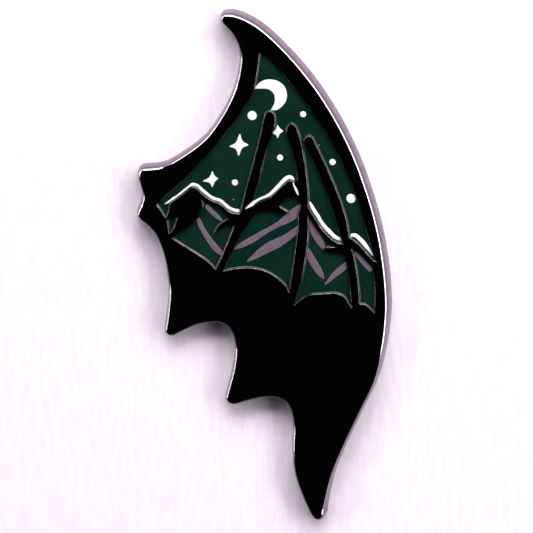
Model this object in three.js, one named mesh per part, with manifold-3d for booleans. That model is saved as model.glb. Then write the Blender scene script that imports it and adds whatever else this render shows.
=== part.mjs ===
// Soft-enamel lapel pin in the shape of a single wing: a struck metal plate with raised lines,
// recessed cells filled with enamel, marks printed over the enamel, and two soldered posts
// held by butterfly clutches. The wing's face looks toward -Y and the wing stands along +Z.
// All lengths are in millimetres.
import * as THREE from "three";
import { mergeVertices } from "three/addons/utils/BufferGeometryUtils.js";
import Module from "manifold-3d";

const wasm = await Module();
wasm.setup();

// Overall sizes of the wing plate
const wingWidth = 29.8;
const wingHeight = 60;
const plateThickness = 2;
const wallSpread = 0.5;
const squareBand = 0.3;

// Recessed cells and what fills them
const cellDepth = 0.6;
const enamelBelowFace = 0.3;
const inkThickness = 0.06;
const layerGap = 0.02;

// Posts soldered to the back
const postSpacing = 24;
const postRadius = 0.575;
const postLength = 8;
const postNeckRadius = 0.43;
const padRadius = 2.1;
const padThickness = 0.45;
const padRecess = 0.2;
const solderWidth = 0.55;

// Butterfly clutches
const clothGap = 2.5;
const clutchRadius = 5.5;
const clutchSheet = 0.35;
const rimCurl = 0.8;
const slideClearance = 0.08;
const capRadius = 3.2;
const capHeight = 2.75;
const capWall = 0.3;
const windowWidth = 3.2;
const jawWidth = 2.6;
const jawSheet = 0.4;
const jawGripClearance = 0.05;
const jawRise = 0.8;
const wingReach = 2.4;
const springWire = 0.22;

// The artwork below is drawn on a sheet of this size, then stretched to the wing's own size.
const sheetWidth = 29.8;
const sheetHeight = 60;
const faceY = -plateThickness;
const wallRise = plateThickness - squareBand;
const cutterOverrun = 1;
const cellFloorY = faceY + cellDepth;
const enamelY = faceY + enamelBelowFace;

// A place on the sheet, moved to its place on the wing
function place([x, z]) {
  return new THREE.Vector2((x * wingWidth) / sheetWidth, (z * wingHeight) / sheetHeight);
}

// The height of each post. The two spread along the wing as the artwork does, so that both
// keep the same share of plate around them.
const postHeights = {
  upper: place([0, postSpacing / 2]).y,
  lower: place([0, -postSpacing / 2]).y,
};

// A smooth line through the given places, with more steps where it bends than where it runs on
function smooth(places, closed = false) {
  const knots = places.map((p) => place(p)).map((v) => new THREE.Vector3(v.x, v.y, 0));
  const curve = new THREE.CatmullRomCurve3(knots, closed, "centripetal");
  const spans = closed ? knots.length : knots.length - 1;
  const line = [];
  for (let i = 0; i < spans; i++) {
    const start = curve.getPoint(i / spans);
    const end = curve.getPoint((i + 1) / spans);
    const inset = 0.02 / spans;
    const turn = curve
      .getTangent(i / spans + inset)
      .angleTo(curve.getTangent((i + 1) / spans - inset));
    const steps = Math.max(1, Math.ceil(turn / 0.24), Math.ceil(start.distanceTo(end) / 1.8));
    for (let k = 0; k < steps; k++) {
      const at = curve.getPoint((i + k / steps) / spans);
      line.push(new THREE.Vector2(at.x, at.y));
    }
  }
  if (!closed) {
    const last = knots[knots.length - 1];
    line.push(new THREE.Vector2(last.x, last.y));
  }
  return line;
}

// A closed outline made of smooth stretches that meet in corners
function outlineOf(...stretches) {
  return stretches.flatMap((places) => smooth(places).slice(0, -1));
}

// An outline moved inward by a distance, or outward when the distance is negative
function inset(outline, distance) {
  const side = THREE.ShapeUtils.isClockWise(outline) ? -1 : 1;
  return outline.map((here, i) => {
    const before = outline[(i + outline.length - 1) % outline.length];
    const after = outline[(i + 1) % outline.length];
    const arrive = here.clone().sub(before).normalize();
    const leave = after.clone().sub(here).normalize();
    const normal = new THREE.Vector2(-(arrive.y + leave.y), arrive.x + leave.x).normalize();
    const lean = Math.max(0.35, -arrive.y * normal.x + arrive.x * normal.y);
    return here.clone().addScaledVector(normal, (side * distance) / lean);
  });
}

// Three.js geometry to a solid, and back
function solidOf(geometry) {
  const bare = geometry.clone();
  bare.deleteAttribute("normal");
  bare.deleteAttribute("uv");
  const merged = mergeVertices(bare, 1e-4);
  const mesh = new wasm.Mesh({
    numProp: 3,
    vertProperties: merged.attributes.position.array,
    triVerts: new Uint32Array(merged.index.array),
  });
  return new wasm.Manifold(mesh);
}

function geometryOf(solid) {
  const mesh = solid.getMesh();
  const geometry = new THREE.BufferGeometry();
  geometry.setAttribute("position", new THREE.BufferAttribute(mesh.vertProperties, 3));
  geometry.setIndex(new THREE.BufferAttribute(mesh.triVerts, 1));
  return geometry;
}

// An outline on the wing given depth from a back plane to a front plane
function slabGeometry(outline, backY, frontY) {
  const shape = new THREE.Shape(outline);
  const geometry = new THREE.ExtrudeGeometry(shape, { depth: backY - frontY, bevelEnabled: false });
  geometry.rotateX(Math.PI / 2);
  geometry.translate(0, backY, 0);
  return geometry;
}

function slab(outline, backY, frontY) {
  return solidOf(slabGeometry(outline, backY, frontY));
}

// A profile of [radius, y] pairs turned about the line through x = 0 and the given height
function turned(profile, segments, z = 0) {
  const points = profile.map(([radius, y]) => new THREE.Vector2(radius, y));
  const geometry = new THREE.LatheGeometry(points, segments);
  geometry.translate(0, 0, z);
  return solidOf(geometry);
}

function block(lowX, highX, lowY, highY, lowZ, highZ) {
  const geometry = new THREE.BoxGeometry(highX - lowX, highY - lowY, highZ - lowZ);
  geometry.translate((lowX + highX) / 2, (lowY + highY) / 2, (lowZ + highZ) / 2);
  return solidOf(geometry);
}

const group = new THREE.Group();
group.name = "wing_pin";

function addPiece(name, solid, colour, metalness, roughness) {
  const material = new THREE.MeshStandardMaterial({ color: colour, metalness, roughness });
  const mesh = new THREE.Mesh(geometryOf(solid), material);
  mesh.name = name;
  group.add(mesh);
}

// Wing plate: the edge of the flat face, from the top tip down the right side and round
const wingOutline = smooth(
  [
    [-6.76, 28.82], [-5.81, 28.56], [-4.76, 28.07], [-3.82, 27.48], [-2.88, 26.75],
    [-1.93, 25.9], [0.68, 23.21], [2.89, 20.42], [4.71, 17.63], [6.25, 14.83], [7.53, 12.02],
    [8.56, 9.2], [9.45, 6.38], [10.14, 3.56], [10.63, 0.72], [10.95, -2.12], [11.06, -4.96],
    [10.87, -7.81], [10.42, -10.68], [9.67, -13.55], [8.33, -16.43], [6.97, -19.32],
    [5.67, -22.21], [4.59, -25.09], [3.94, -27.72], [3.7, -29.03],
    // tail tip
    [3.63, -29.69], [3.39, -30.02], [3.05, -30.05], [2.74, -29.82],
    // left side of the tail and the lowest scallop
    [2.24, -28.96], [1.43, -27.08], [0.78, -25.2], [0.48, -23.32], [0.45, -21.54],
    [0.53, -19.75], [0.45, -18.45], [0.13, -17.21], [-0.41, -16.34], [-1.23, -15.87],
    [-2.41, -15.72], [-3.82, -15.89], [-4.99, -16.21], [-6.05, -16.56],
    // third point
    [-6.73, -16.7], [-7.17, -16.58], [-7.38, -16.23], [-7.31, -15.72],
    // middle scallop
    [-6.99, -14.58], [-6.64, -13.27], [-6.37, -11.77], [-6.29, -10.47], [-6.4, -9.22],
    [-6.78, -8.2], [-7.46, -7.46], [-8.4, -7.11], [-9.58, -7.12], [-10.87, -7.4],
    [-12.1, -7.91], [-13.1, -8.42],
    // second point
    [-13.75, -8.77], [-14.21, -8.79], [-14.47, -8.52], [-14.47, -8.04],
    // upper scallop
    [-14.26, -6.67], [-14.07, -5], [-14.04, -3.34], [-14.21, -1.69], [-14.51, -0.03],
    [-15.03, 1.67], [-15.63, 2.92], [-16.4, 3.85], [-17.1, 4.44],
    // first point, the small notch above it and the outer corner
    [-17.52, 4.78], [-17.71, 5.09], [-17.67, 5.51], [-17.34, 6.23], [-17.11, 7.01],
    [-17.13, 7.78], [-17.36, 8.6], [-17.57, 9.37], [-17.62, 9.89], [-17.47, 10.27],
    [-17.1, 10.46],
    // left edge up to the top tip
    [-16.04, 10.54], [-15.1, 10.72], [-14.16, 11.08], [-13.22, 11.65], [-11.46, 12.87],
    [-9.77, 14.35], [-8.35, 16.29], [-7.25, 18.22], [-6.41, 20.14], [-5.9, 22.06],
    [-5.67, 23.96], [-5.81, 25.03], [-6.14, 25.97], [-6.66, 26.85], [-7.23, 27.51],
    [-7.7, 27.97], [-7.94, 28.38], [-7.86, 28.73], [-7.46, 28.87],
  ],
  true,
);

// Cell above the ridges: the night sky, with three raised ribs standing up into it
const skyCell = outlineOf(
  // right rim
  [
    [-3.63, 24.62], [-3.05, 24.4], [-2.17, 23.65], [-0.99, 22.38], [1.36, 19.43], [3.59, 16.35],
    [5.35, 13.32], [6.82, 10.28], [7.94, 7.29], [8.8, 4.35], [9.47, 1.99], [9.94, 0.46],
  ],
  // far ridge
  [[9.94, 0.46], [9.47, 0.77], [8.65, 1.69], [7.88, 2.5], [7.29, 2.94], [6.86, 3.22]],
  // third rib
  [
    [6.86, 3.22], [6.52, 5.23], [6.05, 6.81], [4.91, 9.81], [3.57, 12.73], [2.77, 14.37],
    [2.51, 14.85], [2.11, 15.06], [1.73, 14.84], [1.57, 14.38], [1.73, 13.74], [2.57, 12.17],
    [3.71, 9.59], [4.8, 6.6], [5.62, 4.01], [6.11, 2.45],
  ],
  // right ridge
  [[6.11, 2.45], [5.41, 2.58], [4.65, 3.08], [3.83, 3.92], [3.12, 4.89], [2.47, 5.94], [2.06, 6.69]],
  // second rib
  [
    [2.06, 6.69], [2.06, 7.94], [1.76, 11.13], [1.17, 14.5], [0.84, 15.56], [0.53, 16.16],
    [0.11, 16.44], [-0.29, 16.18], [-0.52, 15.63], [-0.43, 15.1], [0.1, 13.58], [0.57, 11.81],
    [0.84, 9.86],
  ],
  // middle ridge
  [
    [0.84, 9.86], [0.25, 9.63], [-0.11, 9.74], [-0.52, 9.48], [-1.93, 8.09], [-2.58, 7.56],
    [-3.87, 7.01], [-4.69, 6.4],
  ],
  // first rib
  [
    [-4.69, 6.4], [-3.76, 9.6], [-2.84, 13.37], [-2.29, 14.81], [-1.91, 16.01], [-1.83, 17.08],
    [-2.05, 17.63], [-2.45, 17.84], [-2.88, 17.6], [-3.11, 16.98], [-3.37, 15.73],
    [-3.93, 13.28], [-5.2, 8.55], [-5.93, 5.63],
  ],
  // left ridge
  [
    [-5.93, 5.63], [-6.76, 5.72], [-7.43, 6.04], [-8.13, 6.68], [-9.19, 7.07], [-10.2, 7.76],
    [-11.34, 8.64], [-12.75, 7.66], [-14.13, 6.6],
  ],
  // narrow end beside the ridge's foot
  [[-14.13, 6.6], [-14.24, 5.79], [-14.63, 4.95]],
  [[-14.63, 4.95], [-15.16, 5.76], [-15.69, 6.5]],
  // left rim
  [
    [-15.69, 6.5], [-14.63, 7.56], [-12.28, 9.7], [-10.22, 11.96], [-8.28, 14.33],
    [-6.34, 16.88], [-4.76, 19.3], [-4.29, 20.39], [-3.89, 22.59], [-3.63, 24.62],
  ],
);

// Small cell at the foot of the left ridge
const sliverCell = outlineOf(
  [[-14.48, 4.71], [-13.99, 4.93], [-13.27, 5.01]],
  [[-13.27, 5.01], [-13.46, 4.21], [-13.77, 3.57], [-14.23, 3.08]],
  [[-14.23, 3.08], [-14.33, 3.89], [-14.48, 4.71]],
);

// Cell left of the first rib, with a spur of metal hanging into its upper corner
const leftCell = outlineOf(
  [[-13.84, 2.54], [-12.52, 3.5], [-11.34, 4.48], [-10.64, 5.45], [-10.28, 6.5], [-10.34, 7.15]],
  [[-10.34, 7.15], [-9.34, 6.65], [-8.58, 6.31], [-7.95, 5.89], [-7.2, 5.05]],
  [[-7.2, 5.05], [-7.93, 4.59], [-8.52, 4.09], [-8.91, 3.4]],
  [[-8.91, 3.4], [-8.28, 3.68], [-7.58, 4.13], [-6.57, 4.24]],
  [[-6.57, 4.24], [-7.34, 2.26], [-8.22, 0.21], [-8.78, -0.93]],
  [[-8.78, -0.93], [-9.89, 0.12], [-10.99, 0.81], [-12.52, 1.72], [-13.84, 2.54]],
);

// Cell between the first and second ribs
const middleCell = outlineOf(
  [[-7.87, -1.12], [-6.99, 0.9], [-5.99, 2.92], [-4.99, 4.46], [-4.23, 5.5]],
  [[-4.23, 5.5], [-3.52, 5.87], [-2.76, 6.06], [-2.05, 5.99], [-1.23, 5.66], [-0.19, 6]],
  [[-0.19, 6], [-0.76, 6.28], [-1.29, 6.63]],
  [[-1.29, 6.63], [-0.61, 7.53], [-0.05, 7.79], [0.59, 7.54], [1.22, 6.87]],
  [[1.22, 6.87], [0.92, 5.83], [0.91, 4.7], [0.69, 2.44], [0.32, -0.18], [-0.18, -3.4]],
  [[-0.18, -3.4], [-0.7, -2.54], [-2.29, -1.33], [-3.93, -0.76], [-5.81, -0.73], [-7.87, -1.12]],
);

// Cell between the second and third ribs
const rightCell = outlineOf(
  [[2.04, 5.57], [2.04, 3.79], [1.77, 0.93], [1.22, -2.05], [0.33, -4.99]],
  [
    [0.33, -4.99], [1.36, -4.16], [2.65, -3.59], [4.18, -3.45], [5.41, -3.39], [6.29, -3.8],
    [7.09, -5],
  ],
  [[7.09, -5], [6.99, -2.83], [6.68, -0.58], [6.2, 1.28]],
  [[6.2, 1.28], [5.12, 1.34], [4.36, 1.41], [3.72, 1.68]],
  [[3.72, 1.68], [4.18, 1.95], [5.12, 2.06]],
  [[5.12, 2.06], [4.12, 2.8], [3, 4.14], [2.04, 5.57]],
);

// Cell between the third rib and the rim
const rimCell = outlineOf(
  [[7.14, 1.88], [7.59, -0.08], [7.94, -2.68], [8.04, -4.55]],
  [[8.04, -4.55], [8.65, -4.59], [9.23, -5.02], [9.78, -5.51]],
  [[9.78, -5.51], [9.87, -3.57], [9.8, -1.68], [9.62, -0.14]],
  [[9.62, -0.14], [8.47, 0.93], [7.74, 1.62], [7.14, 1.88]],
);

const cells = {
  sky: skyCell,
  sliver: sliverCell,
  left: leftCell,
  middle: middleCell,
  right: rightCell,
  rim: rimCell,
};

// The plate's wall leans outward from the face, so that it leaves the die, down to a square band.
const plateShape = new THREE.Shape(wingOutline);
const plateGeometry = new THREE.ExtrudeGeometry(plateShape, {
  depth: plateThickness,
  bevelThickness: wallRise,
  bevelSize: wallSpread,
  bevelSegments: 1,
});
plateGeometry.rotateX(Math.PI / 2);
plateGeometry.translate(0, wallRise, 0);
const behindPlate = block(-wingWidth, wingWidth, 0, wingHeight, -wingHeight, wingHeight);
let plate = solidOf(plateGeometry).subtract(behindPlate);
for (const outline of Object.values(cells)) {
  plate = plate.subtract(slab(outline, cellFloorY, faceY - cutterOverrun));
}
for (const z of Object.values(postHeights)) {
  const recessRadius = padRadius + solderWidth + 2 * layerGap;
  const recess = [
    [0, -padRecess], [recessRadius, -padRecess], [recessRadius, cutterOverrun], [0, cutterOverrun],
  ];
  plate = plate.subtract(turned(recess, 32, z));
}
addPiece("wing_plate", plate, 0x17161a, 1, 0.15);

// Enamel poured into each cell
for (const [name, outline] of Object.entries(cells)) {
  const enamel = slab(inset(outline, layerGap), cellFloorY - layerGap, enamelY);
  addPiece("enamel_" + name, enamel, 0x10261e, 0, 0.2);
}

// The main body of a solid that a cut has left with loose crumbs
function largestBody(solid) {
  return solid.decompose().reduce((a, b) => (b.volume() > a.volume() ? b : a));
}

// A layer of ink lying on the enamel of one cell and stopping at the cell's wall
const inkBackY = enamelY - layerGap;
function inkOn(cell, outline) {
  const layer = slab(outline, inkBackY, inkBackY - inkThickness);
  const room = slab(inset(cell, 2 * layerGap), inkBackY + 1, inkBackY - 1);
  return largestBody(layer.intersect(room));
}

// A brush stroke drawn through [x, z, half width] places, with round ends
function stroke(places) {
  const middle = places.map(([x, z]) => place([x, z]));
  const left = [];
  const right = [];
  middle.forEach((here, i) => {
    const before = middle[Math.max(0, i - 1)];
    const after = middle[Math.min(middle.length - 1, i + 1)];
    const along = after.clone().sub(before).normalize();
    const across = new THREE.Vector2(-along.y, along.x);
    const half = places[i][2];
    left.push(here.clone().addScaledVector(across, half));
    right.push(here.clone().addScaledVector(across, -half));
    if (i === 0 || i === middle.length - 1) {
      const outward = i === 0 ? -1 : 1;
      const tip = here.clone().addScaledVector(along, outward * half);
      const shoulder = here.clone().addScaledVector(along, outward * half * 0.7);
      left.push(shoulder.clone().addScaledVector(across, half * 0.7), tip);
      right.push(shoulder.clone().addScaledVector(across, -half * 0.7));
      if (i === 0) {
        left.reverse();
        right.reverse();
      }
    }
  });
  const last = left.pop();
  return [...left, last, ...right.reverse()];
}

// Snow drawn along the tops of the ridges
const snowColour = 0xf2f0f2;
const snowOnSky = {
  snow_left: [
    [-14.72, 6.53, 0.11], [-14.16, 6.81, 0.25], [-13.02, 7.58, 0.28], [-12.08, 8.39, 0.28],
    [-11.64, 8.81, 0.27], [-11.35, 8.95, 0.27], [-11.07, 8.85, 0.27], [-10.67, 8.55, 0.27],
    [-10.08, 8.03, 0.28], [-9.44, 7.54, 0.26], [-8.91, 7.29, 0.25], [-8.29, 7.13, 0.25],
    [-7.73, 6.63, 0.26], [-7.15, 6.24, 0.25], [-6.56, 6, 0.25], [-6.13, 5.96, 0.22],
  ],
  snow_right: [
    [2.18, 7.18, 0.19], [2.55, 6.53, 0.27], [3.05, 5.71, 0.28], [3.55, 4.92, 0.28],
    [4.24, 4.06, 0.3], [5.02, 3.3, 0.3], [5.81, 2.86, 0.22],
  ],
  snow_far: [
    [7, 3.39, 0.22], [7.26, 3.51, 0.27], [7.55, 3.46, 0.3], [7.88, 3.22, 0.31],
    [8.49, 2.58, 0.31], [9.08, 1.85, 0.26], [9.53, 1.2, 0.15],
  ],
};
for (const [name, places] of Object.entries(snowOnSky)) {
  addPiece(name, inkOn(skyCell, stroke(places)), snowColour, 0, 0.6);
}

// The middle ridge's snow starts on top of the first rib and steps down onto the enamel.
const middleSnow = stroke([
  [-5.22, 6.33, 0.12], [-4.79, 6.64, 0.21], [-4.21, 7.08, 0.21], [-3.62, 7.46, 0.19],
  [-3.03, 7.7, 0.2], [-2.44, 8, 0.25], [-1.85, 8.58, 0.27], [-1.27, 9.23, 0.28],
  [-0.68, 9.86, 0.28], [-0.37, 10.08, 0.28], [-0.11, 10.14, 0.27], [0.12, 10.05, 0.25],
  [0.33, 9.83, 0.14],
]);
const inkOnFaceY = faceY - layerGap;
const lapEnd = place([-4.3, 0]).x;
const lapZone = block(-wingWidth, lapEnd, faceY - 1, 0, 0, wingHeight);
const wallSide = slab(inset(skyCell, 2 * layerGap), 0, faceY - 1);
const wallInkSide = slab(inset(skyCell, 2 * layerGap + inkThickness), 0, faceY - 1);
const lapOnFace = slab(middleSnow, inkOnFaceY, inkOnFaceY - inkThickness)
  .intersect(lapZone)
  .subtract(wallInkSide);
const lapOnWall = slab(middleSnow, inkBackY, inkOnFaceY - inkThickness)
  .intersect(lapZone)
  .intersect(wallSide)
  .subtract(wallInkSide);
const middleSnowLayer = inkOn(skyCell, middleSnow).add(lapOnWall).add(lapOnFace);
addPiece("snow_middle", middleSnowLayer, snowColour, 0, 0.6);

// A short flick of snow lies on the second rib's own metal.
const flick = stroke([[0.3, 9.47, 0.12], [0.44, 9.08, 0.18], [0.66, 8.61, 0.22], [0.87, 8.14, 0.17]]);
addPiece("snow_flick", slab(flick, inkOnFaceY, inkOnFaceY - inkThickness), snowColour, 0, 0.6);

// Crescent moon
const moon = outlineOf(
  [
    [-4.29, 20.36], [-3.85, 20.93], [-3.21, 21.38], [-2.44, 21.52], [-1.56, 21.36],
    [-0.84, 20.83], [-0.5, 20.03], [-0.56, 19.14], [-1.03, 18.41], [-1.74, 17.91],
    [-2.33, 17.96],
  ],
  [
    [-2.33, 17.96], [-1.95, 18.69], [-1.89, 19.4], [-2.11, 19.99], [-2.64, 20.35],
    [-3.38, 20.41], [-4.29, 20.36],
  ],
);
addPiece("moon", inkOn(skyCell, moon), snowColour, 0, 0.6);

// Four-pointed stars: each goes from a tip in to a waist and out to the next tip
const stars = {
  star_large: [
    [-5.97, 15.09], [-5.66, 14.18], [-4.91, 13.73], [-5.69, 13.33],
    [-6.11, 12.34], [-6.46, 13.21], [-7.26, 13.49], [-6.45, 13.99],
  ],
  star_medium: [
    [-9.19, 10.57], [-8.89, 9.96], [-8.46, 9.69], [-8.89, 9.29],
    [-9.19, 8.6], [-9.52, 9.13], [-10.37, 9.31], [-9.54, 9.8],
  ],
  star_small: [
    [-1.6, 16.23], [-1.29, 15.82], [-0.89, 15.49], [-1.31, 15.15],
    [-1.56, 14.6], [-1.78, 15.01], [-2.28, 15.23], [-1.83, 15.6],
  ],
};
const starTipRound = 0.16;
for (const [name, places] of Object.entries(stars)) {
  const corners = places.map((p) => place(p));
  const shape = corners.flatMap((corner, i) => {
    if (i % 2 === 1) return [corner];
    const before = corner.clone().lerp(corners[(i + 7) % 8], starTipRound);
    const after = corner.clone().lerp(corners[i + 1], starTipRound);
    const blunt = before.clone().add(after).multiplyScalar(0.5).lerp(corner, 0.6);
    return [before, blunt, after];
  });
  addPiece(name, inkOn(skyCell, shape), snowColour, 0, 0.6);
}

// Round dots, as distant stars
const dots = [
  [-4.54, 17.21, 0.54], [7.01, 7.79, 0.54], [1.41, 17.53, 0.36],
  [-1.28, 12.35, 0.36], [4.85, 12.01, 0.37], [-6.55, 9.27, 0.36],
];
dots.forEach(([x, z, radius], i) => {
  const middle = place([x, z]);
  const ring = new THREE.EllipseCurve(middle.x, middle.y, radius, radius).getPoints(20).slice(0, -1);
  addPiece("dot_" + (i + 1), inkOn(skyCell, ring), snowColour, 0, 0.6);
});

// Mauve brush strokes across the lower cells
const mauveStrokes = [
  [leftCell, [[-9.78, 6.32, 0.28], [-9.14, 5.65, 0.28], [-8.56, 5.13, 0.24], [-8.13, 4.78, 0.15]]],
  [
    leftCell,
    [
      [-10.84, 4.73, 0.26], [-10.32, 3.65, 0.28], [-9.56, 2.44, 0.34], [-8.79, 1.46, 0.37],
      [-8.03, 0.75, 0.24],
    ],
  ],
  [
    middleCell,
    [
      [-6.62, 1.41, 0.08], [-5.97, 1.8, 0.28], [-4.79, 2.43, 0.37], [-3.62, 3.19, 0.33],
      [-2.44, 3.92, 0.28], [-1.38, 4.55, 0.33], [-0.56, 5.08, 0.5], [0.14, 5.61, 0.59],
      [0.85, 6.17, 0.57], [1.44, 6.63, 0.52],
    ],
  ],
  [
    middleCell,
    [
      [-5.05, 0.06, 0.11], [-4.21, 0.61, 0.31], [-3.62, 1.07, 0.44], [-2.44, 1.82, 0.57],
      [-1.85, 2.12, 0.58], [-0.68, 2.82, 0.46], [0.5, 3.69, 0.39], [1.32, 4.43, 0.35],
    ],
  ],
  [
    rightCell,
    [
      [1.91, 5.42, 0.17], [2.26, 4.63, 0.34], [2.73, 3.76, 0.45], [3.2, 2.94, 0.46],
      [3.59, 2.24, 0.37], [3.79, 1.8, 0.19],
    ],
  ],
  [
    rightCell,
    [
      [1.51, 2.18, 0.19], [2.03, 1.18, 0.39], [2.55, 0.25, 0.43], [3.08, -0.62, 0.43],
      [3.53, -1.3, 0.31], [3.74, -1.67, 0.15],
    ],
  ],
  [
    rightCell,
    [
      [4.02, -2.37, 0.11], [4.55, -1.84, 0.22], [5.2, -1.15, 0.35], [5.9, -0.57, 0.38],
      [6.49, -0.08, 0.34], [7.08, 0.4, 0.31],
    ],
  ],
  [rimCell, [[7.64, 1.34, 0.26], [8.2, 0.67, 0.32], [8.79, 0.02, 0.34], [9.29, -0.51, 0.28]]],
];
mauveStrokes.forEach(([cell, places], i) => {
  addPiece("mauve_stroke_" + (i + 1), inkOn(cell, stroke(places)), 0x735f73, 0, 0.7);
});

// Posts, solder and clutches, one set above and one below the middle of the back
const padBackY = padThickness - padRecess;
const neckY = postLength - 1.6;
const capBackY = clothGap + clutchSheet + layerGap;
const capTopY = capBackY + capHeight;
const jawY = capBackY + jawRise;
const gripRadius = postRadius + jawGripClearance;
const clutchSteel = 0x2b2a2e;

for (const [row, z] of Object.entries(postHeights)) {
  // The post is headed from wire: a wide pad, a plain shank, a neck and a point.
  const post = [
    [0, layerGap - padRecess], [padRadius, layerGap - padRecess], [padRadius, padBackY - 0.1],
    [padRadius - 0.1, padBackY], [postRadius + 0.15, padBackY], [postRadius, padBackY + 0.15],
    [postRadius, neckY - 0.15], [postNeckRadius, neckY], [postNeckRadius, neckY + 0.35],
    [postRadius, neckY + 0.5], [postRadius, postLength - 0.9], [0.12, postLength - 0.06],
    [0, postLength],
  ];
  addPiece("post_" + row, turned(post, 20, z), clutchSteel, 1, 0.25);

  // Solder drawn up round the pad
  const ringIn = padRadius + layerGap;
  const ringOut = ringIn + solderWidth - layerGap;
  const solder = [
    [ringIn, layerGap - padRecess], [ringOut, layerGap - padRecess], [ringOut, -0.04],
    [ringIn + 0.3, 0.02], [ringIn, 0.16], [ringIn, layerGap - padRecess],
  ];
  addPiece("solder_" + row, turned(solder, 28, z), 0x77777c, 1, 0.4);

  // Clutch plate: a dished disc with a curled rim, pierced for the post
  const holeRadius = postRadius + slideClearance;
  const plateBackY = clothGap + clutchSheet;
  const rimMiddle = clutchRadius - rimCurl / 2;
  const disc = [
    [holeRadius, clothGap], [clutchRadius - 0.3, clothGap], [clutchRadius, clothGap + 0.3],
    [clutchRadius, clothGap + rimCurl - 0.15], [clutchRadius - 0.2, clothGap + rimCurl],
    [rimMiddle, clothGap + rimCurl - 0.1], [rimMiddle - 0.3, plateBackY],
    [holeRadius, plateBackY], [holeRadius, clothGap],
  ];
  addPiece("clutch_plate_" + row, turned(disc, 36, z), clutchSteel, 1, 0.25);

  // Clutch cap: a drawn cup over the jaws, with a window each side and a hole for the post
  const capHole = postRadius + 0.25;
  const flange = capRadius + 0.55;
  const cup = [
    [capRadius - capWall, capBackY], [flange, capBackY], [flange, capBackY + 0.25],
    [capRadius, capBackY + 0.3], [capRadius, capTopY - 0.35], [capRadius - 0.35, capTopY],
    [capHole, capTopY], [capHole, capTopY - capWall], [capRadius - 0.45, capTopY - capWall],
    [capRadius - capWall, capTopY - 0.5], [capRadius - capWall, capBackY],
  ];
  const half = windowWidth / 2;
  const windowLow = jawY - jawSheet / 2 - 0.2;
  const windowHigh = capTopY - 0.55;
  const windows = block(-2 * flange, 2 * flange, windowLow, windowHigh, z - half, z + half);
  addPiece("clutch_cap_" + row, turned(cup, 32, z).subtract(windows), clutchSteel, 1, 0.25);

  // Spring: an open ring of round wire inside the cap, above the jaws
  const ringRadius = capRadius - capWall - springWire - 0.1;
  const springY = capTopY - capWall - springWire - layerGap;
  const opening = 0.5;
  const ringPoints = [];
  for (let i = 0; i <= 16; i++) {
    const angle = Math.PI / 2 + opening + (i / 16) * 2 * (Math.PI - opening);
    ringPoints.push(
      new THREE.Vector3(ringRadius * Math.cos(angle), springY, z + ringRadius * Math.sin(angle)),
    );
  }
  const wirePath = new THREE.CatmullRomCurve3(ringPoints);
  const wireEnd = new THREE.Shape().absarc(0, 0, springWire, 0, 2 * Math.PI);
  const wire = new THREE.ExtrudeGeometry(wireEnd, {
    steps: 26,
    curveSegments: 4,
    extrudePath: wirePath,
  });
  addPiece("clutch_spring_" + row, solidOf(wire), 0xa8a8ac, 1, 0.2);

  // Jaws: each a strip with a half-round notch at the post and a finger wing outside the cap
  for (const [sideName, side] of [["left", -1], ["right", 1]]) {
    const wall = capRadius + 0.15;
    const low = jawY - jawSheet / 2;
    const high = jawY + jawSheet / 2;
    const rise = wingReach * 0.9;
    const strip = [
      [jawGripClearance, low], [wall, low], [wall + wingReach, low + rise],
      [wall + wingReach - 0.25, low + rise + 0.25], [wall - 0.2, high], [jawGripClearance, high],
    ];
    const section = new THREE.Shape(strip.map(([x, y]) => new THREE.Vector2(side * x, y)));
    const bent = new THREE.ExtrudeGeometry(section, { depth: jawWidth, bevelEnabled: false });
    bent.translate(0, 0, z - jawWidth / 2);
    const bore = [[0, low - 1], [gripRadius, low - 1], [gripRadius, high + 1], [0, high + 1]];
    const jaw = solidOf(bent).subtract(turned(bore, 20, z));
    addPiece("clutch_jaw_" + sideName + "_" + row, jaw, clutchSteel, 1, 0.25);
  }
}

export default group;
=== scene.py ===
import math
import random

import bmesh
import bpy
from mathutils import Matrix, Vector, noise


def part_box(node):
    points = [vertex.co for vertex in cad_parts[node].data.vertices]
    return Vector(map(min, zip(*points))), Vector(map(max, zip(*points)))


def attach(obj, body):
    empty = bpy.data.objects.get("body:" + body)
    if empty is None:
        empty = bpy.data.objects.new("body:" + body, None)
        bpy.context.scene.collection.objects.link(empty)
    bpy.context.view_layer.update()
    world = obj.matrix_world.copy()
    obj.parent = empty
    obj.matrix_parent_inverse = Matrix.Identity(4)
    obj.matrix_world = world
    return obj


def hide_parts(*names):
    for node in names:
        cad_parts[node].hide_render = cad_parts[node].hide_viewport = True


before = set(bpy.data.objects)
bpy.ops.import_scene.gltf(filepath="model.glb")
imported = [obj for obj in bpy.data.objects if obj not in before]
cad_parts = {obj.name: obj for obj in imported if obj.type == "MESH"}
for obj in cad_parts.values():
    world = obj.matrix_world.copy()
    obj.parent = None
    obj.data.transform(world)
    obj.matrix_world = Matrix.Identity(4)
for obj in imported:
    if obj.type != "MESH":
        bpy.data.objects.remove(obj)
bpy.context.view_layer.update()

MM = 0.001

# ---- The card, the light and the camera ------------------------------------------------------
# The pin lies on a pale card, its posts pushed through it, under a tent of soft light that is
# open at the bottom and behind the camera, so that the polished face mirrors only the dark room.
# The card is seen from its front only, which leaves the back of the pin open to view.

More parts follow.
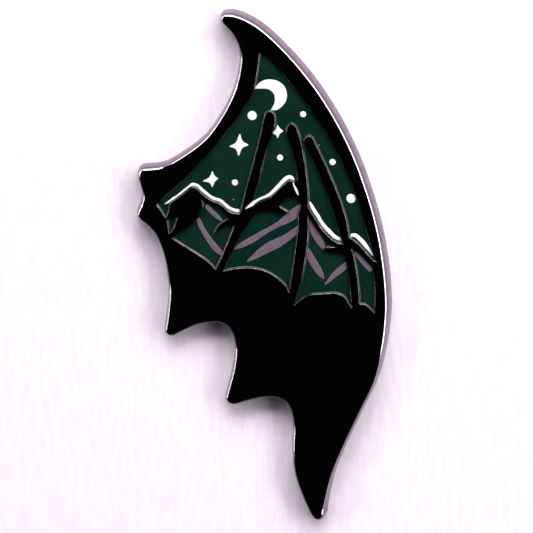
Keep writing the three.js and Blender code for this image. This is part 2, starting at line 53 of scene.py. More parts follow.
class Shade:
    """A socket of a node tree. Arithmetic on it adds Math nodes."""

    def __init__(self, tree, socket):
        self.tree, self.socket = tree, socket

    def math(self, operation, *values):
        return self.tree.node("Math", {"operation": operation}, dict(enumerate(values)))

    def __add__(self, other):
        return self.math("ADD", self, other)

    def __sub__(self, other):
        return self.math("SUBTRACT", self, other)

    def __rsub__(self, other):
        return self.math("SUBTRACT", other, self)

    def __mul__(self, other):
        return self.math("MULTIPLY", self, other)

    __radd__, __rmul__ = __add__, __mul__

    def above(self, level):
        return self.math("GREATER_THAN", self, level)

    def between(self, low, high):
        """0 below low, 1 above high and a straight climb between them."""
        return self.tree.node("MapRange", {"clamp": True}, {"Value": self, 1: low, 2: high})


class Wiring:
    """A node tree, and the ways of adding to it."""

    def __init__(self, tree):
        self.nodes, self.links = tree.nodes, tree.links

    def node(self, kind, settings, values, out=0):
        made = self.nodes.new("ShaderNode" + kind)
        for key, value in settings.items():
            setattr(made, key, value)
        for key, value in values.items():
            self.join(made.inputs[key], value)
        return Shade(self, made.outputs[out])

    def join(self, socket, value):
        if isinstance(value, Shade):
            self.links.new(value.socket, socket)
        else:
            socket.default_value = value

    def mixed(self, share, first, second):
        return self.node("Mix", {"data_type": "RGBA"}, {0: share, 6: first, 7: second}, 2)


class Finish(Wiring):
    """A material around one Principled shader."""

    def __init__(self, name, **constants):
        self.material = bpy.data.materials.new(name)
        self.material.use_nodes = True
        super().__init__(self.material.node_tree)
        self.shader = self.nodes["Principled BSDF"]
        for key, value in constants.items():
            self.shader.inputs[key.replace("_", " ")].default_value = value
        self.place = self.node("TexCoord", {}, {}, "Object")

    def drive(self, name, value):
        self.join(self.shader.inputs[name], value)

    def painted(self, name):
        """A number that the mesh carries at each of its points."""
        return self.node("Attribute", {"attribute_name": name}, {}, "Fac")

    def noise(self, per_mm, detail=3, roughness=0.5, stretch=(1, 1, 1)):
        spread_out = self.node("Mapping", {}, {"Vector": self.place, "Scale": stretch})
        return self.node("TexNoise", {}, {"Vector": spread_out, "Scale": per_mm / MM,
                                          "Detail": detail, "Roughness": roughness})

    def specks(self, per_mm, radius, share):
        """Sparse round specks: Voronoi cells, of which only a share hold one."""
        cell = {"Vector": self.place, "Scale": per_mm / MM}
        near = self.node("TexVoronoi", {}, cell, "Distance")
        lot = self.node("TexVoronoi", {}, cell, "Color")
        draw = self.node("SeparateColor", {}, {"Color": lot})
        return (1 - near.between(radius * 0.6, radius)) * draw.above(1 - share)

    def bump(self, height, strength, depth_mm, normal=None):
        values = {"Height": height, "Strength": strength, "Distance": depth_mm * MM}
        if normal:
            values["Normal"] = normal
        return self.node("Bump", {}, values)


card_half_width = 0.6
card_level = -0.03 * MM
card_bm = bmesh.new()
bmesh.ops.create_grid(card_bm, x_segments=1, y_segments=1, size=card_half_width)
bmesh.ops.rotate(card_bm, verts=card_bm.verts, matrix=Matrix.Rotation(math.radians(90), 3, "X"))
bmesh.ops.translate(card_bm, verts=card_bm.verts, vec=(0, card_level, 0))
card_mesh = bpy.data.meshes.new("card")
card_bm.to_mesh(card_mesh)
card_bm.free()
card = bpy.data.objects.new("card", card_mesh)
bpy.context.scene.collection.objects.link(card)

card_paper = Finish("card_paper", Roughness=0.85, Specular_IOR_Level=0.1)
fibre = card_paper.noise(1.5, 4, stretch=(1, 1, 0.22)).between(0.36, 0.64)
card_paper.drive("Base Color", card_paper.mixed(fibre, (1.0, 0.91, 1.0, 1), (0.93, 0.835, 0.94, 1)))
reverse = card_paper.node("NewGeometry", {}, {}, "Backfacing")
clear = card_paper.node("BsdfTransparent", {}, {})
front = Shade(card_paper, card_paper.shader.outputs[0])
sheet = card_paper.node("MixShader", {}, {0: reverse, 1: front, 2: clear})
card_paper.join(card_paper.nodes["Material Output"].inputs["Surface"], sheet)
card_mesh.materials.append(card_paper.material)


def softbox(name, place, width, height, watts, tint=(1, 1, 1)):
    """A rectangle of light that faces the pin."""
    light = bpy.data.lights.new(name, "AREA")
    light.shape = "RECTANGLE"
    light.size, light.size_y = width, height
    light.energy = watts
    light.color = tint
    box = bpy.data.objects.new(name, light)
    box.location = place
    box.rotation_mode = "QUATERNION"
    box.rotation_quaternion = (-Vector(place)).to_track_quat("-Z", "Y")
    box.visible_camera = False
    bpy.context.scene.collection.objects.link(box)


softbox("top_light", (0.03, -0.26, 0.43), 0.6, 0.28, 3.9)
softbox("left_light", (-0.42, -0.2, 0.2), 0.14, 0.36, 0.75, (1, 0.9, 1))
softbox("low_left_light", (-0.45, -0.2, -0.02), 0.05, 0.22, 0.3, (1, 0.95, 1))
softbox("right_light", (0.45, -0.24, 0.05), 0.2, 0.56, 2.1)
softbox("corner_light", (0.38, -0.26, 0.34), 0.2, 0.2, 0.7)
softbox("back_light", (0.15, 0.5, 0.3), 0.4, 0.4, 2.6)

world = bpy.data.worlds.new("room")
bpy.context.scene.world = world
world.use_nodes = True
room = Wiring(world.node_tree)
heading = room.node("TexCoord", {}, {}, "Generated")
backward = room.node("SeparateXYZ", {}, {"Vector": heading}, "Y") * 0.5 + 0.5
walls = room.mixed(backward.between(0.54, 0.8), (0.004, 0.004, 0.005, 1), (0.55, 0.54, 0.56, 1))
camera_ray = room.node("LightPath", {}, {}, "Is Camera Ray")
unseen = room.node("Background", {}, {"Color": walls})
seen = room.nodes["Background"]
seen.inputs["Color"].default_value = (0.97, 0.95, 0.97, 1)
both = room.node("MixShader", {}, {0: camera_ray, 1: unseen, 2: Shade(room, seen.outputs[0])})
room.join(room.nodes["World Output"].inputs["Surface"], both)

bpy.context.scene.view_settings.view_transform = "Standard"

azimuth, elevation = math.radians(8.5), math.radians(11.5)
right = Vector((math.cos(azimuth), math.sin(azimuth), 0))
back = Vector((math.sin(azimuth) * math.cos(elevation),
               -math.cos(azimuth) * math.cos(elevation), math.sin(elevation)))
up = back.cross(right)
distance = 2.4
frame_width = 61.65 * MM
aim = right * -3.08 * MM + up * -0.76 * MM
lens = bpy.data.cameras.new("camera")
lens.sensor_width = 36
lens.lens = lens.sensor_width * distance / frame_width
camera = bpy.data.objects.new("camera", lens)
camera.location = aim + back * distance
camera.rotation_mode = "QUATERNION"
camera.rotation_quaternion = (-back).to_track_quat("-Z", "Y")
bpy.context.scene.collection.objects.link(camera)
bpy.context.scene.camera = camera


# ---- The wing plate --------------------------------------------------------------------------
# A zinc plate struck in one piece: a wall that leans outward below a small round corner, six
# recessed cells between raised lines, and a flat back with two pockets for the posts. It is
# plated in black nickel, mirror-bright in front and left with the fine grain of the die behind.

plating = Finish("black_nickel")
haze = plating.noise(0.35, 4, 0.6)
scratch = plating.noise(1.2, 2, 0.6, (1, 1, 14)) + plating.noise(1.1, 2, 0.6, (12, 1, 1))
specks = plating.specks(0.9, 0.045, 0.03)
level = plating.node("SeparateXYZ", {}, {"Vector": plating.place}, "Y")
behind = level.between(-0.25 * MM, -0.05 * MM)

# Down the outer wall, painted light: a painted highlight at the corner, a painted dark band of
# shade under it, then a streaky mauve painted reflection of the card.
wall = plating.painted("wall_run")
streak = plating.noise(1.6, 3, 0.6, (1, 0.15, 1)).between(0.3, 0.7)
# Painted reflection: the lower wall is tinted mauve and streaked, like the pale card mirrored in
# it.
painted_card_reflection = plating.mixed(streak, (0.33, 0.26, 0.32, 1), (0.23, 0.18, 0.225, 1))
# Painted shade: a dark band just below the corner.
painted_shade_below_corner = plating.mixed(wall.between(0.36, 0.56), (0.13, 0.105, 0.13, 1), painted_card_reflection)
tone = plating.mixed(haze.between(0.3, 0.75), (0.24, 0.21, 0.25, 1), (0.19, 0.165, 0.2, 1))
tone = plating.mixed(wall.between(0.2, 0.32), tone, painted_shade_below_corner)
# Painted highlight: the corner rings take a bright tone where the lamps glint on the round.
corner = wall.between(0.01, 0.06) * (1 - wall.between(0.2, 0.28))
tone = plating.mixed(corner, tone, (0.74, 0.68, 0.72, 1))

# Painted highlight: the lips of the cells take a warm bright tone, broken by noise, where the lamps
# glint on the raised lines.
painted_lip_glint = plating.mixed(plating.noise(1.5, 4, 0.7).between(0.38, 0.56),
                       (0.07, 0.065, 0.06, 1), (0.37, 0.335, 0.275, 1))
tone = plating.mixed(plating.painted("lip_glint_mask"), tone, painted_lip_glint)
tone = plating.mixed(behind, tone, (0.115, 0.105, 0.12, 1))

gloss = (0.06 + haze * 0.08) * (1 - corner * 0.55) + level.between(-1.75 * MM, -1.5 * MM) * 0.14
gloss = gloss + behind * 0.22
grain = plating.noise(5, 3, 0.6)
plating.drive("Base Color", plating.mixed(specks, tone, (0.8, 0.8, 0.8, 1)))
plating.drive("Metallic", 1 - specks)
plating.drive("Roughness", gloss + specks * 0.5)
plating.drive("Normal", plating.bump(grain * behind, 0.35, 0.05, plating.bump(scratch, 0.05, 0.02)))


def outline_rings(node, level, facing, sharp=0.5):
    """The closed edge loops of a node's flat faces at a level of y, counter-clockwise seen from
    the front, eased between corners, and the widest loop first. facing is -1 front or 1 back."""
    bm = bmesh.new()
    bm.from_mesh(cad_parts[node].data)
    bmesh.ops.remove_doubles(bm, verts=bm.verts, dist=0.0005 * MM)
    bm.normal_update()
    flat = {f for f in bm.faces if f.normal.y * facing > 0.99
            and all(abs(v.co.y - level) < 0.004 * MM for v in f.verts)}
    # A dictionary keeps its order, so that each loop starts at the same place on every run.
    rim = dict.fromkeys(e for e in bm.edges if sum(f in flat for f in e.link_faces) == 1)
    rings = []
    while rim:
        edge = rim.popitem()[0]
        start, here = edge.verts
        ring = [start.co.copy(), here.co.copy()]
        while edge := next((e for e in here.link_edges if e in rim), None):
            rim.pop(edge)
            here = edge.other_vert(here)
            ring.append(here.co.copy())
        if (ring[-1] - ring[0]).length < 0.001 * MM:
            ring.pop()
        rings.append(eased(ring, sharp))
    bm.free()
    rings.sort(key=lambda ring: -abs(area(ring)))
    return [ring if area(ring) > 0 else ring[::-1] for ring in rings]


def area(ring):
    return sum(a.x * b.z - b.x * a.z for a, b in zip(ring, ring[1:] + ring[:1])) / 2


def eased(ring, sharp, step=0.16 * MM):
    """The ring with straight pieces bent into a smooth run between its corners."""
    count = len(ring)
    corner = []
    for i, here in enumerate(ring):
        arrive, leave = here - ring[i - 1], ring[(i + 1) % count] - here
        corner.append(arrive.length > 0 and leave.length > 0 and arrive.angle(leave) > sharp)
    made = []
    for i, here in enumerate(ring):
        after = ring[(i + 1) % count]
        before = here * 2 - after if corner[i] else ring[i - 1]
        beyond = after * 2 - here if corner[(i + 1) % count] else ring[(i + 2) % count]
        span = (after - here).length
        cuts = max(1, round(span / step))
        enter = (after - before) / max((after - here).length + (here - before).length, 1e-9) * span
        leave = (beyond - here) / max((after - here).length + (beyond - after).length, 1e-9) * span
        for k in range(cuts):
            t = k / cuts
            made.append(here * (2 * t**3 - 3 * t**2 + 1) + enter * (t**3 - 2 * t**2 + t)
                        + after * (3 * t**2 - 2 * t**3) + leave * (t**3 - t**2))
    return made


def sideways(ring):
    """The way out of a counter-clockwise ring at each of its points."""
    ways = []
    for i, here in enumerate(ring):
        arrive = (here - ring[i - 1]).normalized()
        leave = (ring[(i + 1) % len(ring)] - here).normalized()
        way = Vector((arrive.z + leave.z, 0, -(arrive.x + leave.x))).normalized()
        lean = max(0.45, way.x * arrive.z - way.z * arrive.x)
        ways.append(way / lean)
    return ways


def room_beside(ring, ways, others, move, most=0.4):
    """How much of a move each point can make along its way: it crosses no more than the given
    part of the gap to the next edge."""
    reach = 3 * move
    edges = [(a, b) for other in others for a, b in zip(other, other[1:] + other[:1])]
    free = []
    for here, way in zip(ring, ways):
        best = reach
        for a, b in edges:
            if abs(a.x - here.x) > 2 * reach or abs(a.z - here.z) > 2 * reach:
                continue
            along = b - a
            across = way.x * along.z - way.z * along.x
            if abs(across) < 1e-12:
                continue
            to_a = a - here
            far = (to_a.x * along.z - to_a.z * along.x) / across
            share = (to_a.x * way.z - to_a.z * way.x) / across
            if 1e-7 < far < best and -0.01 <= share <= 1.01:
                best = far
        free.append(min(1, most * best / move))
    return free


def lay_ring(bm, places):
    points = [bm.verts.new(p) for p in places]
    for a, b in zip(points, points[1:] + points[:1]):
        bm.edges.new((a, b))
    return points


def ring_edges(bm, ring):
    return [bm.edges.get((a, b)) for a, b in zip(ring, ring[1:] + ring[:1])]


def draw_wall(bm, ring, places):
    """Pulls a strip of wall from a ring of points to new places, and gives the new ring."""
    made = bmesh.ops.extrude_edge_only(bm, edges=ring_edges(bm, ring))["geom"]
    fresh = {v for v in made if isinstance(v, bmesh.types.BMVert)}
    for face in made:
        if isinstance(face, bmesh.types.BMFace):
            face.smooth = True
    moved = []
    for point, goal in zip(ring, places):
        new = next(e.other_vert(point) for e in point.link_edges if e.other_vert(point) in fresh)
        new.co = goal
        moved.append(new)
    return moved


def fill(bm, rings, facing):
    edges = [e for ring in rings for e in ring_edges(bm, ring)]
    bmesh.ops.triangle_fill(bm, use_beauty=True, use_dissolve=False, edges=edges,
                            normal=(0, facing, 0))


def piece(name, bm, material, body, replaces, crease=35):
    """Closes a mesh into a finished piece that rides on its body."""
    bmesh.ops.remove_doubles(bm, verts=bm.verts, dist=0.0004 * MM)
    bmesh.ops.recalc_face_normals(bm, faces=bm.faces)
    for edge in bm.edges:
        if len(edge.link_faces) == 2 and edge.calc_face_angle() > math.radians(crease):
            edge.smooth = False
    mesh = bpy.data.meshes.new(name)
    bm.to_mesh(mesh)
    bm.free()
    mesh.materials.append(material)
    made = bpy.data.objects.new(name, mesh)
    bpy.context.scene.collection.objects.link(made)
    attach(made, body)
    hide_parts(*replaces)
    return made


def moved_ring(ring, ways, distance, level, free=None):
    free = free or [1.0] * len(ring)
    return [Vector((p.x + w.x * distance * f, level, p.z + w.z * distance * f))
            for p, w, f in zip(ring, ways, free)]


face_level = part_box("wing_plate")[0].y
edge_round = 0.3 * MM
edge_inset = 0.12 * MM
corner_steps = 10
corner_turn = math.radians(76)
corner_share = 0.3
spread = 0.5 * MM
line_round = 0.055 * MM
lip_steps = 5
cell_depth = 0.6 * MM
back_chamfer = 0.08 * MM
pocket_depth, pocket_draft = 0.2 * MM, 0.03 * MM
plate_bm = bmesh.new()
wall_run = plate_bm.verts.layers.float.new("wall_run")
lip_glint_mask = plate_bm.verts.layers.float.new("lip_glint_mask")
outer, *cells = outline_rings("wing_plate", face_level, -1)
outer_ways = sideways(outer)

# Painted shade: walls that face down lose the painted corner highlight and keep the dark tone
# further down. The wall stands steeper along the lower right.
painted_down_shade = [min(1, max(0, 3 * (-way.z - 0.2) if way.x > 0 else 6 * (-way.z + 0.05)))
          for way in outer_ways]
lean_out = [1 - 0.45 * max(0, way.x) * min(1, max(0, -3 * way.z)) for way in outer_ways]
top_ring = lay_ring(plate_bm, moved_ring(outer, outer_ways, -edge_inset, face_level))
ring = top_ring
for k in range(1, corner_steps + 1):
    share = k / corner_steps
    turn = corner_turn * share
    ring = draw_wall(plate_bm, ring, moved_ring(
        outer, outer_ways, edge_round * math.sin(turn) - edge_inset,
        face_level + edge_round * (1 - math.cos(turn))))
    # wall_run here also carries the painted shade of walls that face down.
    for point, down_shade in zip(ring, painted_down_shade):
        point[wall_run] = corner_share * (share + (1 - share) * down_shade)
corner_reach = edge_round * math.sin(corner_turn) - edge_inset
corner_foot = face_level + edge_round * (1 - math.cos(corner_turn))
for share in (0.3, 0.6, 0.85, 1.0):
    ring = draw_wall(plate_bm, ring, moved_ring(
        outer, outer_ways,
        corner_reach + (spread - corner_reach) * math.sin(share * math.pi / 2) ** 1.1,
        corner_foot + (-back_chamfer - corner_foot) * share, lean_out))
    # Walls that face down stay darker down their length: painted shade.
    for point, down_shade in zip(ring, painted_down_shade):
        point[wall_run] = corner_share + (1 - corner_share) * share * (1 - 0.85 * down_shade)
ring = draw_wall(plate_bm, ring, moved_ring(
    outer, outer_ways, spread - back_chamfer, 0, lean_out))
for point in ring:
    point[wall_run] = 0
back_rings = [ring]
for pocket in outline_rings("wing_plate", 0, 1)[1:]:
    ways = sideways(pocket)
    rim = lay_ring(plate_bm, pocket)
    back_rings.append(rim)
    floor = draw_wall(plate_bm, rim, moved_ring(pocket, ways, -pocket_draft, -pocket_depth))
    fill(plate_bm, [floor], 1)
fill(plate_bm, back_rings, 1)
face_rings = [top_ring]
for cell in cells:
    ways = sideways(cell)
    free = room_beside(cell, ways, [outer] + cells, line_round, 0.42)
    rim = lay_ring(plate_bm, moved_ring(cell, ways, line_round, face_level, free))
    face_rings.append(rim)
    ring = rim
    for k in range(1, lip_steps + 1):
        turn = math.pi / 2 * k / lip_steps
        ring = draw_wall(plate_bm, ring, moved_ring(
            cell, ways, line_round * (1 - math.sin(turn)),
            face_level + line_round * (1 - math.cos(turn)), free))
        for point in ring:
            # The middle steps of each lip carry the painted highlight.
            point[lip_glint_mask] = float(k in (2, 3))
    floor = draw_wall(plate_bm, ring, moved_ring(cell, ways, 0, face_level + cell_depth))
    fill(plate_bm, [floor], -1)
fill(plate_bm, face_rings, -1)
piece("wing_plate_struck", plate_bm, plating.material, "wing",
      ["wing_plate"])


# ---- The enamel ------------------------------------------------------------------------------
# Dark green enamel, flowed wet into each cell and baked. It stands a little below the raised
# lines, and its glossy skin creeps up the wall of each cell in a fine meniscus.

enamel = Finish("green_enamel", IOR=1.52)
cloud = enamel.noise(0.25, 3, 0.55)
pigment = enamel.noise(9, 2, 0.6)
deep = enamel.mixed(cloud.between(0.35, 0.7), (0.0031, 0.0178, 0.0124, 1),
                    (0.005, 0.0245, 0.0178, 1))
flecked = enamel.mixed(pigment.between(0.62, 0.8) * 0.35, deep, (0.013, 0.048, 0.035, 1))
dust = enamel.specks(0.9, 0.05, 0.09)
enamel.drive("Base Color", enamel.mixed(dust, flecked, (0.7, 0.72, 0.7, 1)))
enamel.drive("Roughness", 0.1 + cloud * 0.08 + dust * 0.5)
enamel.drive("Normal", enamel.bump(enamel.noise(0.9, 2, 0.5), 0.12, 0.05))

enamel_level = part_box("enamel_sky")[0].y
floor_gap = 0.02 * MM
creep, creep_rise = 0.16 * MM, 0.09 * MM
creep_steps = 5
for cell_name in ("sky", "sliver", "left", "middle", "right", "rim"):
    node = "enamel_" + cell_name
    pool = outline_rings(node, enamel_level, -1)[0]
    ways = sideways(pool)
    inward = [-w for w in ways]
    free = room_beside(pool, inward, [pool], creep)
    bm = bmesh.new()
    ring = lay_ring(bm, moved_ring(pool, ways, 0, face_level + cell_depth - floor_gap))
    fill(bm, [ring], 1)
    ring = draw_wall(bm, ring, moved_ring(pool, ways, 0, enamel_level - creep_rise))
    for k in range(1, creep_steps + 1):
        share = k / creep_steps
        ring = draw_wall(bm, ring, moved_ring(
            pool, inward, creep * share, enamel_level - creep_rise * (1 - share) ** 2.2, free))
    fill(bm, [ring], -1)
    piece(node + "_fill", bm, enamel.material, "wing", [node])


# ---- The printed ink -------------------------------------------------------------------------
# Thick white and mauve ink, pad-printed over the enamel: snow along the ridges, a moon, stars
# and dots in white, brush strokes in mauve. Each mark has soft, slightly swollen edges, and the
# snow wavers in width as a hand-drawn line does.

def ink(name, pale, dark, grain_share, rough):
    print_ink = Finish(name, Specular_IOR_Level=0.35)
    grain = print_ink.noise(4, 4, 0.8)
    wash = print_ink.noise(1.2, 3, 0.6)
    body = print_ink.mixed(grain.between(0.42, 0.64) * grain_share, pale, dark)
    print_ink.drive("Base Color", print_ink.mixed(wash.between(0.5, 0.8) * 0.3, body, dark))
    print_ink.drive("Roughness", rough + grain * 0.15)
    print_ink.drive("Normal", print_ink.bump(grain, 0.3, 0.02))
    return print_ink.material


white_ink = ink("white_ink", (0.9, 0.88, 0.91, 1), (0.76, 0.74, 0.78, 1), 0.4, 0.4)
mauve_ink = ink("mauve_ink", (0.17, 0.122, 0.165, 1), (0.075, 0.057, 0.075, 1), 0.9, 0.5)


swell = 0.07 * MM
snow_thinning = 0.075 * MM

# The section of an edge of ink: the share of the swell, and the share of the mark's height.
ink_edge = ((0.0, 0.35), (0.25, 0.7), (0.6, 0.93), (1.0, 1.0))


def printed(node, material):
    """One mark of ink. The points of the stars are rounded over, as thick ink leaves them."""
    low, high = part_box(node)
    sharp = 2.6 if node.startswith("star") else 0.5
    mark = outline_rings(node, low.y, -1, sharp)[0]
    inward = [-w for w in sideways(mark)]
    free = room_beside(mark, inward, [mark], swell)
    if node.startswith("snow"):
        waver = [snow_thinning + (0.05 * noise.noise(p * 1.3 / MM)
                                  + 0.04 * noise.noise(p * 4 / MM)) * MM for p in mark]
        mark = [p + w * wave * f for p, w, wave, f in zip(mark, inward, waver, free)]
    bm = bmesh.new()
    ring = lay_ring(bm, moved_ring(mark, inward, 0, high.y))
    fill(bm, [ring], 1)
    for share, rise in ink_edge:
        level = high.y + (low.y - high.y) * rise
        ring = draw_wall(bm, ring, moved_ring(mark, inward, swell * share, level, free))
    fill(bm, [ring], -1)
    piece(node + "_print", bm, material, "wing", [node], 60)


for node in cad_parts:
    if node.startswith("mauve_stroke"):
        printed(node, mauve_ink)
    elif node.startswith(("moon", "star", "dot", "snow")) and node != "snow_middle":
        printed(node, white_ink)

# The middle snow steps down from the first raised line onto the enamel in one skin of ink, a
# little narrower than the CAD's.
snow_inset = 0.06 * MM
snow_edge = 0.015 * MM
bm = bmesh.new()
bm.from_mesh(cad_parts["snow_middle"].data)
bmesh.ops.remove_doubles(bm, verts=bm.verts, dist=0.0005 * MM)
bmesh.ops.dissolve_limit(bm, angle_limit=math.radians(1), verts=bm.verts, edges=bm.edges)
bm.normal_update()
for vert in bm.verts:
    out = Vector((vert.normal.x, 0, vert.normal.z))
    if out.length > 0.2:
        vert.co -= out.normalized() * snow_inset
bmesh.ops.bevel(bm, geom=[e for e in bm.edges if e.calc_face_angle() > 0.9], offset=snow_edge,
                segments=2, profile=0.5, affect="EDGES", material=-1)
bmesh.ops.triangulate(bm, faces=bm.faces)
piece("snow_middle_print", bm, white_ink, "wing", ["snow_middle"])


# ---- The posts and their solder --------------------------------------------------------------
# Two posts headed from steel wire: a wide pad, a shank, and a neck behind the point for the
# clutch to grip. Each pad sits in its pocket in a ring of solder, which froze a little unevenly.

def turned(profile, height, steps=96):
    """A skin spun from [radius, y] pairs in millimetres round a line along Y."""
    bm = bmesh.new()
    points = [bm.verts.new((radius * MM, y * MM, height)) for radius, y in profile]
    for a, b in zip(points, points[1:]):
        bm.edges.new((a, b))
    bmesh.ops.spin(bm, geom=bm.verts[:] + bm.edges[:], cent=(0, 0, height), axis=(0, 1, 0),
                   angle=2 * math.pi, steps=steps, use_merge=True)
    bmesh.ops.remove_doubles(bm, verts=bm.verts, dist=0.001 * MM)
    return smoothed(bm)


def smoothed(bm):
    for face in bm.faces:
        face.smooth = True
    return bm


def plated(name, tone, gloss, wear_tone, lines):
    """Plated steel: drawing lines, worn spots and a few scratches."""
    skin = Finish(name, Metallic=1.0)
    rub = skin.noise(0.8, 4, 0.65)
    draw = skin.noise(3.0, 2, 0.6, lines)
    scratch = skin.noise(0.9, 2, 0.5, (9, 9, 0.7))
    worn = rub.between(0.56, 0.72)
    skin.drive("Base Color", skin.mixed(worn * 0.6, tone, wear_tone))
    skin.drive("Roughness", gloss + draw * 0.1 + worn * 0.12)
    skin.drive("Normal", skin.bump(draw + scratch * 0.6, 0.16, 0.02))
    return skin.material


post_steel = plated("post_steel", (0.34, 0.32, 0.35, 1), 0.14, (0.5, 0.48, 0.49, 1), (1, 9, 1))
solder_grey = Finish("solder_grey", Metallic=1.0)
frost = solder_grey.noise(4, 4, 0.7)
lump = solder_grey.noise(1.1, 3, 0.6)
solder_grey.drive("Base Color", solder_grey.mixed(lump, (0.36, 0.36, 0.37, 1), (0.6, 0.6, 0.6, 1)))
solder_grey.drive("Roughness", 0.28 + frost * 0.3)
solder_grey.drive("Normal", solder_grey.bump(frost + lump, 0.45, 0.05))

# The height of each post, to the micrometre.
rows = {}
for row in ("upper", "lower"):
    post_low, post_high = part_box("post_" + row)
    rows[row] = round((post_low.z + post_high.z) / 2, 6)

bead_foot = -0.1 * MM
bead_climb = 0.2 * MM
bead_wave = 0.018 * MM
for row, height in rows.items():
    post = [(0, -0.18), (2.04, -0.18), (2.1, -0.12), (2.1, 0.13), (2.08, 0.2), (2.0, 0.25),
            (0.95, 0.25), (0.78, 0.28), (0.66, 0.36), (0.6, 0.5), (0.575, 0.75), (0.575, 6.2),
            (0.55, 6.28), (0.46, 6.37), (0.43, 6.45), (0.43, 6.7), (0.46, 6.8), (0.55, 6.88),
            (0.575, 6.95), (0.575, 7.08), (0.5, 7.35), (0.36, 7.66), (0.2, 7.88), (0.08, 7.98),
            (0, 8.0)]
    piece("post_" + row + "_headed", turned(post, height, 64), post_steel, "wing",
          ["post_" + row], 50)

    bead = [(2.12, -0.18), (2.63, -0.18), (2.63, -0.1), (2.6, -0.03), (2.5, 0.03), (2.38, 0.07),
            (2.27, 0.11), (2.18, 0.16), (2.13, 0.17), (2.12, 0.1), (2.12, -0.18)]
    bm = turned(bead, height, 96)
    random.seed(row)
    waves = [(k, random.uniform(0, 6.28), random.uniform(0.5, 1)) for k in (2, 3, 5, 8)]
    for vert in bm.verts:
        turn = math.atan2(vert.co.z - height, vert.co.x)
        lift = sum(size * math.sin(k * turn + phase) for k, phase, size in waves)
        vert.co.y += bead_wave * lift * min(1, max(0, (vert.co.y - bead_foot) / bead_climb))
    piece("solder_" + row + "_bead", bm, solder_grey.material, "wing", ["solder_" + row],
          50)


# ---- The butterfly clutches ------------------------------------------------------------------
# Each clutch is pressed from sheet steel: a dished plate with a curled rim, a drawn cap clinched
# on it, and inside the cap a ring of spring wire that closes two strips on the post. The strips
# come out through windows in the cap as finger wings; squeezing them together frees the post.

def soften(bm, offset, least):
    """Rounds every edge that turns by more than least."""
    bmesh.ops.recalc_face_normals(bm, faces=bm.faces)
    turned_edges = [e for e in bm.edges
                    if len(e.link_faces) == 2 and e.calc_face_angle() > least]
    bmesh.ops.bevel(bm, geom=turned_edges, offset=offset, segments=2, profile=0.5,
                    affect="EDGES", material=-1, clamp_overlap=True)
    return smoothed(bm)


clutch_steel = plated("clutch_steel", (0.3, 0.285, 0.31, 1), 0.12, (0.42, 0.4, 0.42, 1),
                      (1, 1, 7))
spring_steel = plated("spring_steel", (0.5, 0.49, 0.48, 1), 0.16, (0.62, 0.6, 0.58, 1),
                      (6, 1, 1))
window_reach = 1.6 * MM
window_foot, window_head = 3.28 * MM, 5.06 * MM
cap_sheet = 0.28 * MM
wire_radius = 0.22 * MM
spring_radius, spring_level = 2.58 * MM, 5.08 * MM
spring_gap = 1.0

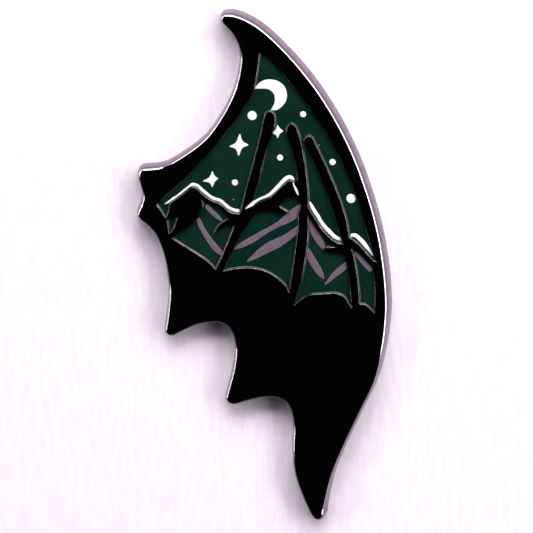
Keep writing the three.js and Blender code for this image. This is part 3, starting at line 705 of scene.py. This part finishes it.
# A finger strip, in millimetres: its level and half width, the notch that closes on the post,
# the bend outside the window, the ribs for the finger, the droop of the end, and its reach.
jaw_sheet = 0.36 * MM
jaw_level = 3.67
jaw_half_width = 1.3
notch_radius = 0.64
bend_start, bend_run = 3.3, 0.5
bend_angle = math.radians(43)
rib_height = 0.06
ribs_start, ribs_end = 0.9, 2.3
droop_start = 2.4
jaw_reach = 6.35
tip_length = 0.8
for row, height in rows.items():
    plate = [(0.66, 2.5), (1.5, 2.5), (1.62, 2.53), (1.72, 2.6), (1.85, 2.66), (2.6, 2.66),
             (2.75, 2.62), (2.88, 2.54), (3.0, 2.5), (4.95, 2.5), (5.2, 2.53), (5.38, 2.62),
             (5.48, 2.76), (5.5, 2.92), (5.48, 3.08), (5.4, 3.22), (5.27, 3.29), (5.12, 3.28),
             (5.0, 3.2), (4.93, 3.08), (4.86, 2.96), (4.74, 2.88), (4.6, 2.85), (4.1, 2.85),
             (4.02, 2.82), (3.9, 2.8), (3.78, 2.82), (3.7, 2.85), (0.82, 2.85), (0.7, 2.83),
             (0.66, 2.76), (0.66, 2.5)]
    piece("clutch_plate_" + row + "_pressed", turned(plate, height), clutch_steel,
          row + "_plate", ["clutch_plate_" + row], 50)

    cap = [(3.74, 3.15), (3.45, 3.15), (3.33, 3.17), (3.25, 3.22), (3.2, 3.32), (3.2, 3.6),
           (3.2, 4.4), (3.2, 5.18), (3.18, 5.3), (3.13, 5.41), (3.05, 5.5), (2.95, 5.56),
           (2.82, 5.6), (2.7, 5.62), (2.1, 5.62), (1.95, 5.59), (1.8, 5.54), (1.2, 5.54),
           (1.05, 5.53), (0.93, 5.49), (0.85, 5.42), (0.83, 5.34)]
    bm = turned(cap, height)
    for place, normal in (((0, 0, height + window_reach), (0, 0, 1)),
                          ((0, 0, height - window_reach), (0, 0, 1)),
                          ((0, window_foot, 0), (0, 1, 0)), ((0, window_head, 0), (0, 1, 0))):
        bmesh.ops.bisect_plane(bm, geom=bm.verts[:] + bm.edges[:] + bm.faces[:],
                               plane_co=place, plane_no=normal, dist=0.0001 * MM)
    window = [f for f in bm.faces
              if abs(f.calc_center_median().z - height) < window_reach
              and window_foot < f.calc_center_median().y < window_head]
    bmesh.ops.delete(bm, geom=window, context="FACES")
    bmesh.ops.recalc_face_normals(bm, faces=bm.faces)
    bmesh.ops.solidify(bm, geom=bm.faces[:], thickness=cap_sheet)
    piece("clutch_cap_" + row + "_drawn", smoothed(bm), clutch_steel, row + "_head",
          ["clutch_cap_" + row], 50)

    bm = bmesh.new()
    bmesh.ops.create_circle(bm, cap_ends=True, radius=wire_radius, segments=16)
    bmesh.ops.translate(bm, verts=bm.verts, vec=(spring_radius, spring_level, 0))
    bmesh.ops.spin(bm, geom=bm.verts[:] + bm.edges[:] + bm.faces[:], cent=(0, 0, 0),
                   axis=(0, 1, 0), angle=2 * math.pi - spring_gap, steps=72)
    bmesh.ops.rotate(bm, verts=bm.verts, cent=(0, 0, 0),
                     matrix=Matrix.Rotation((math.pi + spring_gap) / 2, 3, "Y"))
    bmesh.ops.translate(bm, verts=bm.verts, vec=(0, 0, height))
    piece("clutch_spring_" + row + "_wire", smoothed(bm), spring_steel, row + "_head",
          ["clutch_spring_" + row], 50)

    for side_name, side in (("left", -1), ("right", 1)):
        bm = bmesh.new()
        bmesh.ops.create_grid(bm, x_segments=56, y_segments=24, size=1)
        for vert in bm.verts:
            along, across = (vert.co.x + 1) / 2, vert.co.y
            notch = math.sqrt(max(0, notch_radius**2 - (jaw_half_width * across) ** 2))
            out = max(0.06, notch) * (1 - along) + jaw_reach * along
            flat = min(out, bend_start)
            climb = max(0, out - bend_start)
            bend = bend_angle * min(1, climb / bend_run) * (1 if climb > bend_run else 0.5)
            droop = max(0, climb - droop_start) ** 2 * 0.5
            tip = max(0, out - jaw_reach + tip_length) / tip_length
            narrow = 1 - 0.34 * (1 - math.sqrt(max(0, 1 - tip**2))) - 0.06 * min(1, climb)
            rib = rib_height * math.sin(climb * 9) if ribs_start < climb < ribs_end else 0
            vert.co = Vector(((flat + climb * math.cos(bend) + rib * 0.5) * MM,
                              (jaw_level + climb * math.sin(bend) - droop + rib) * MM,
                              height + across * jaw_half_width * narrow * MM))
        bmesh.ops.recalc_face_normals(bm, faces=bm.faces)
        bmesh.ops.solidify(bm, geom=bm.faces[:], thickness=jaw_sheet)
        inside = [v.co.y for v in bm.verts if v.co.x < 3 * MM]
        rise = jaw_level * MM - sum(inside) / len(inside)
        bmesh.ops.translate(bm, verts=bm.verts, vec=(0, rise, 0))
        soften(bm, 0.05 * MM, 1.0)
        if side < 0:
            bmesh.ops.scale(bm, verts=bm.verts, vec=(-1, 1, 1))
        piece("clutch_jaw_%s_%s_strip" % (side_name, row), bm, clutch_steel,
              "%s_%s_jaw" % (row, side_name), ["clutch_jaw_%s_%s" % (side_name, row)],
              60)
